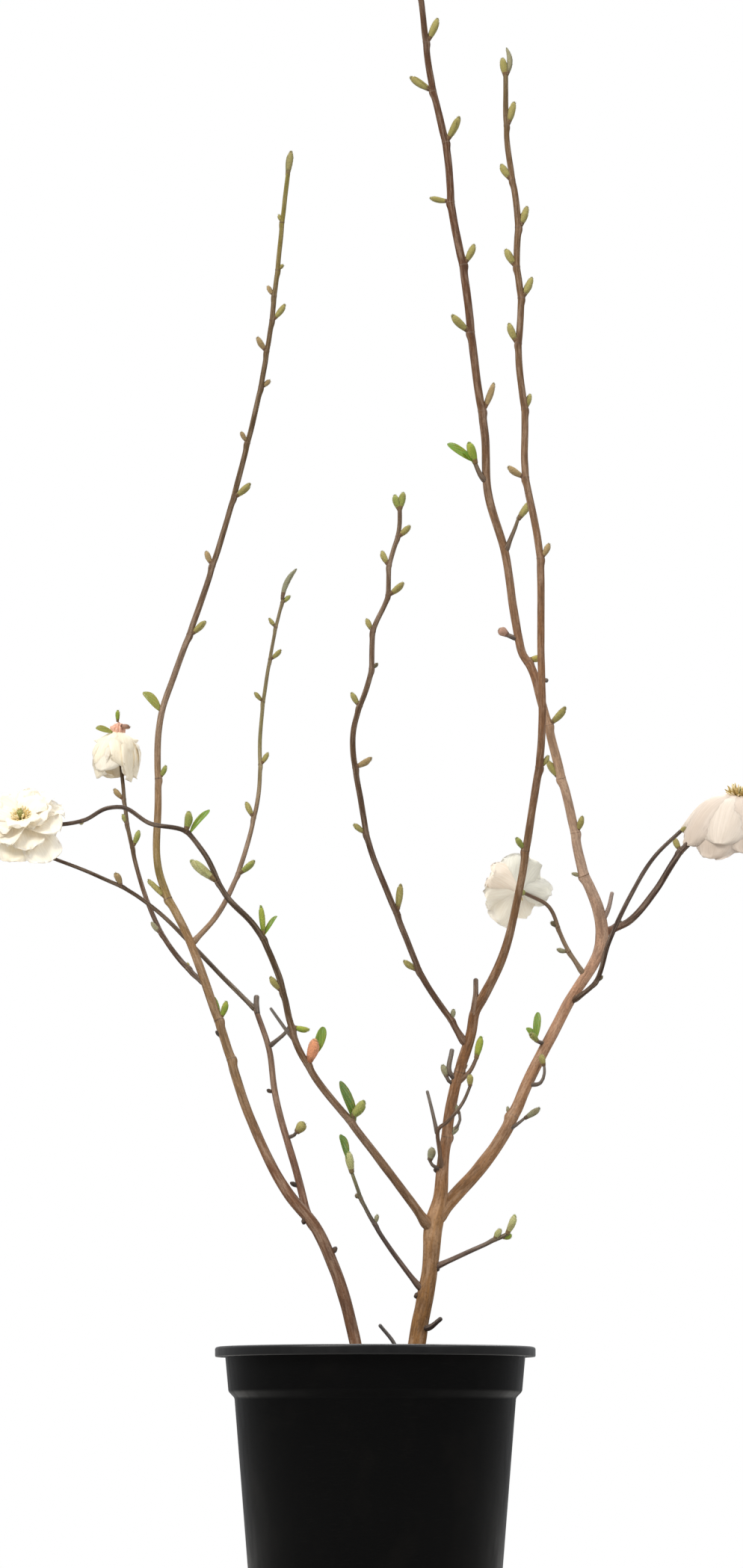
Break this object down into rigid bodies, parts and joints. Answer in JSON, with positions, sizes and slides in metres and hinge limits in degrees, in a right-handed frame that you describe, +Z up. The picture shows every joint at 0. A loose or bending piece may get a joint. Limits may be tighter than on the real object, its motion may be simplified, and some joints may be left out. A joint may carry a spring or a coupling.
{
  "type": "potted star magnolia",
  "caption": "Young flowering shrub in a black nursery pot: stems from the compost, tapering boughs, bare shoots with buds, and white blossoms.",
  "frame": {"origin": "centre of the pot's flat underside, on the surface that it stands on", "axes": "+Z up, +X to the viewer's right and +Y away from the viewer of the picture"},
  "size_m": [0.7112, 0.3697, 1.5528],
  "materials": {
    "pot_plastic": "satin black moulded polypropylene",
    "compost": "damp bark and peat compost",
    "bark": "smooth tan and grey bark with small pores",
    "shoots": "thin brown shoots with downy olive buds",
    "blossom_twigs": "soft white petals on dark twigs"
  },
  "bodies": {
    "root": {"pot": "pot_plastic", "compost": "compost", "left_stem": "bark", "right_stem": "bark", "inner_left_bough": "bark", "middle_bough": "bark", "centre_right_bough": "bark", "right_bough": "bark", "right_upper_bough": "bark", "inner_stub": "bark", "low_stub": "bark", "dead_twig": "bark", "left_shoot": "shoots", "left_side_shoot": "shoots", "outer_left_twig": "shoots", "centre_right_shoot": "shoots", "right_upper_shoot": "shoots", "centre_shoot": "shoots", "right_thin_twig": "shoots", "low_left_twig": "shoots", "low_right_twig": "shoots", "crossing_twig": "shoots", "left_flowering_twig": "blossom_twigs", "middle_flowering_shoot": "blossom_twigs", "centre_flowering_twig": "blossom_twigs", "right_flowering_twig": "blossom_twigs"}
  },
  "joints": []
}
